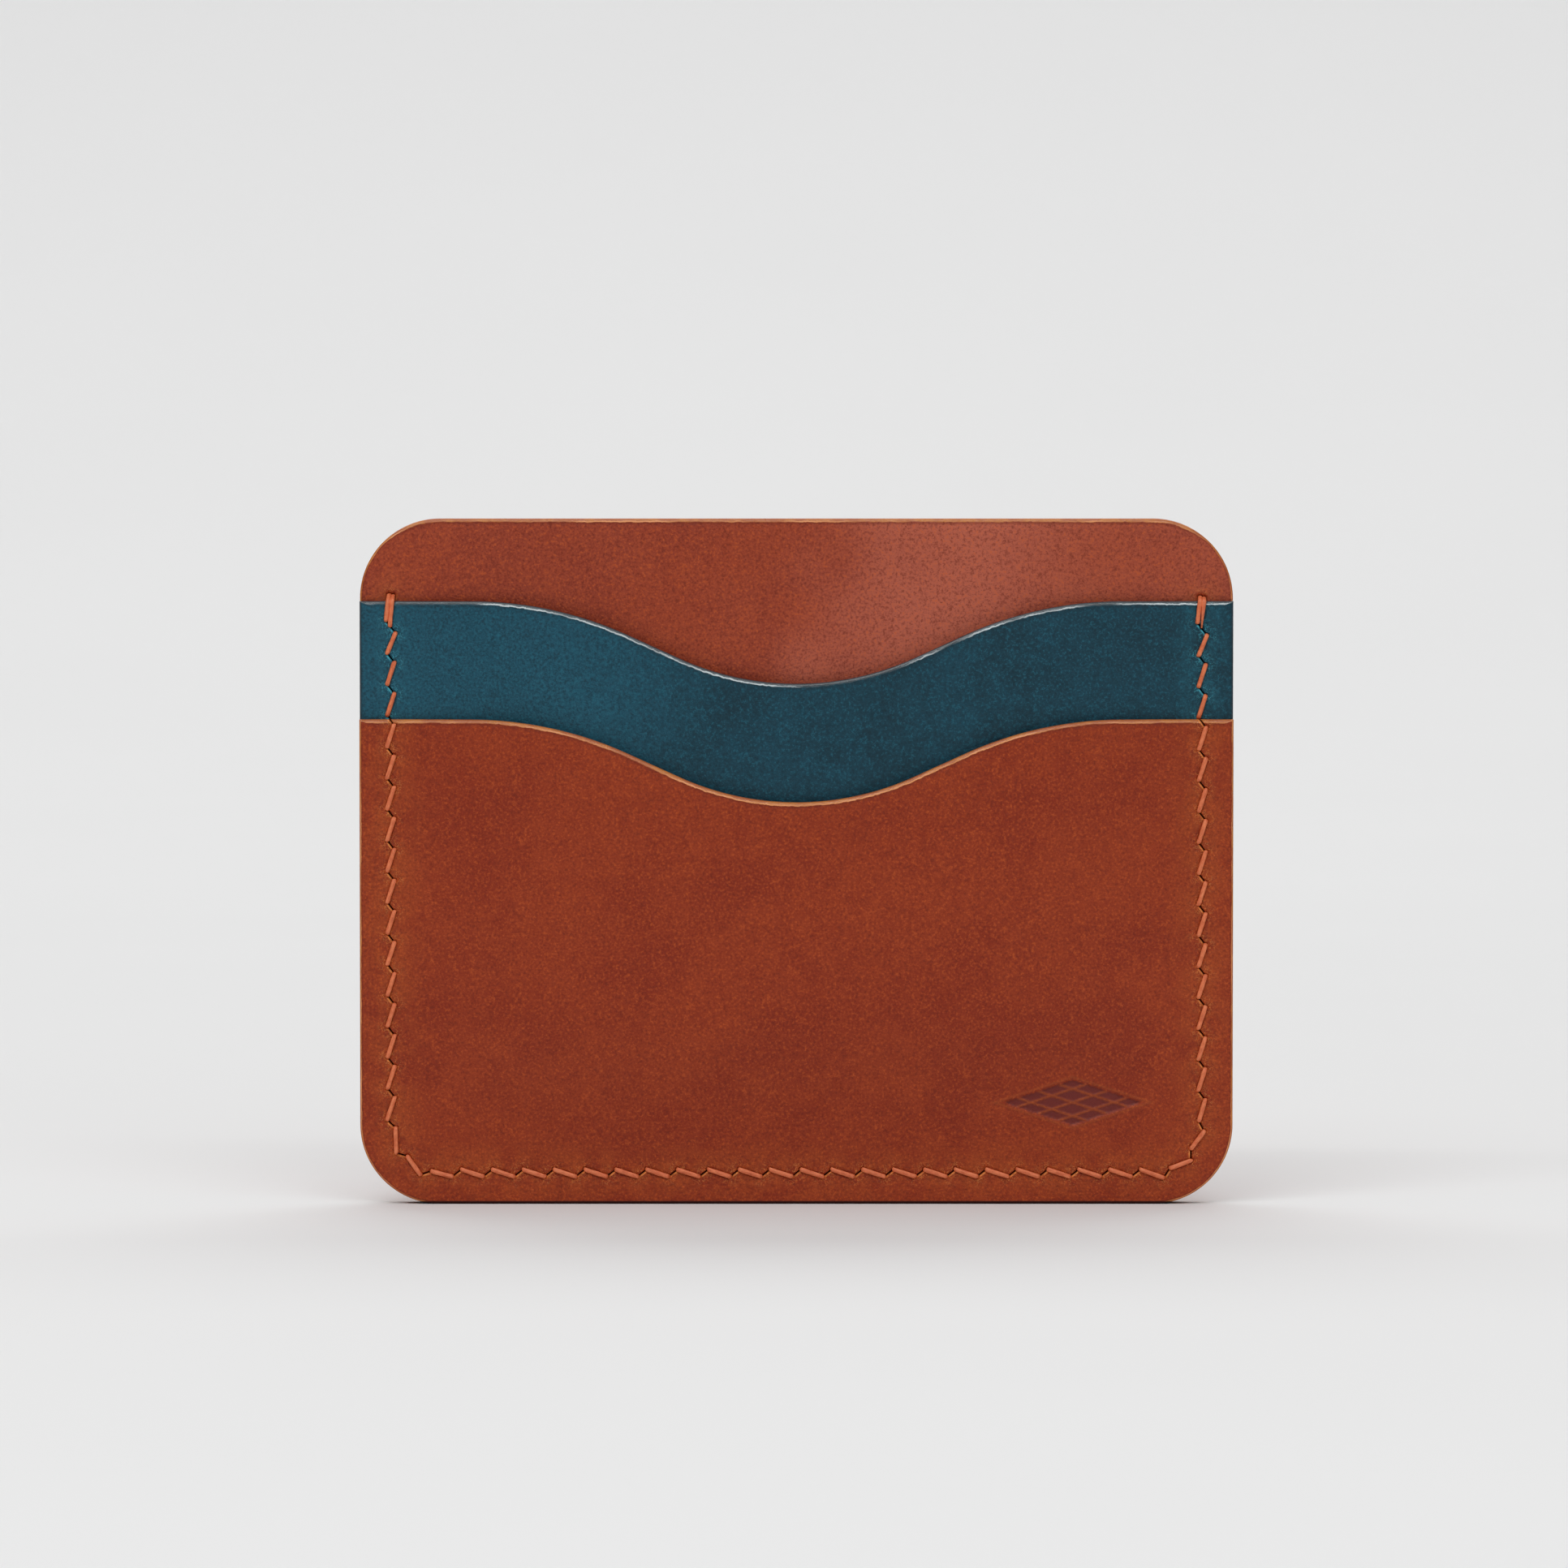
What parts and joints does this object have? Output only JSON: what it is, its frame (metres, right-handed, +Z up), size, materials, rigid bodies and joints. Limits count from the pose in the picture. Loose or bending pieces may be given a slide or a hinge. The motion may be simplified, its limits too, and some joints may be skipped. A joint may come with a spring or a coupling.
{
  "type": "card holder",
  "caption": "Flat sewn leather card holder with a plain back panel and layered front pockets with dipped mouths.",
  "frame": {"origin": "middle of the footprint, on the plane that the bottom edge stands on", "axes": "+X to the right seen from the front, +Y towards the rear, +Z up; the pockets face -Y and open upwards"},
  "size_m": [0.0954, 0.0054, 0.075],
  "materials": {
    "tan_leather": "satin",
    "blue_leather": "satin",
    "waxed_thread": "waxed"
  },
  "bodies": {
    "root": {"back_panel": "tan_leather", "middle_panel": "blue_leather", "front_panel": "tan_leather", "thread": "waxed_thread"}
  },
  "joints": []
}
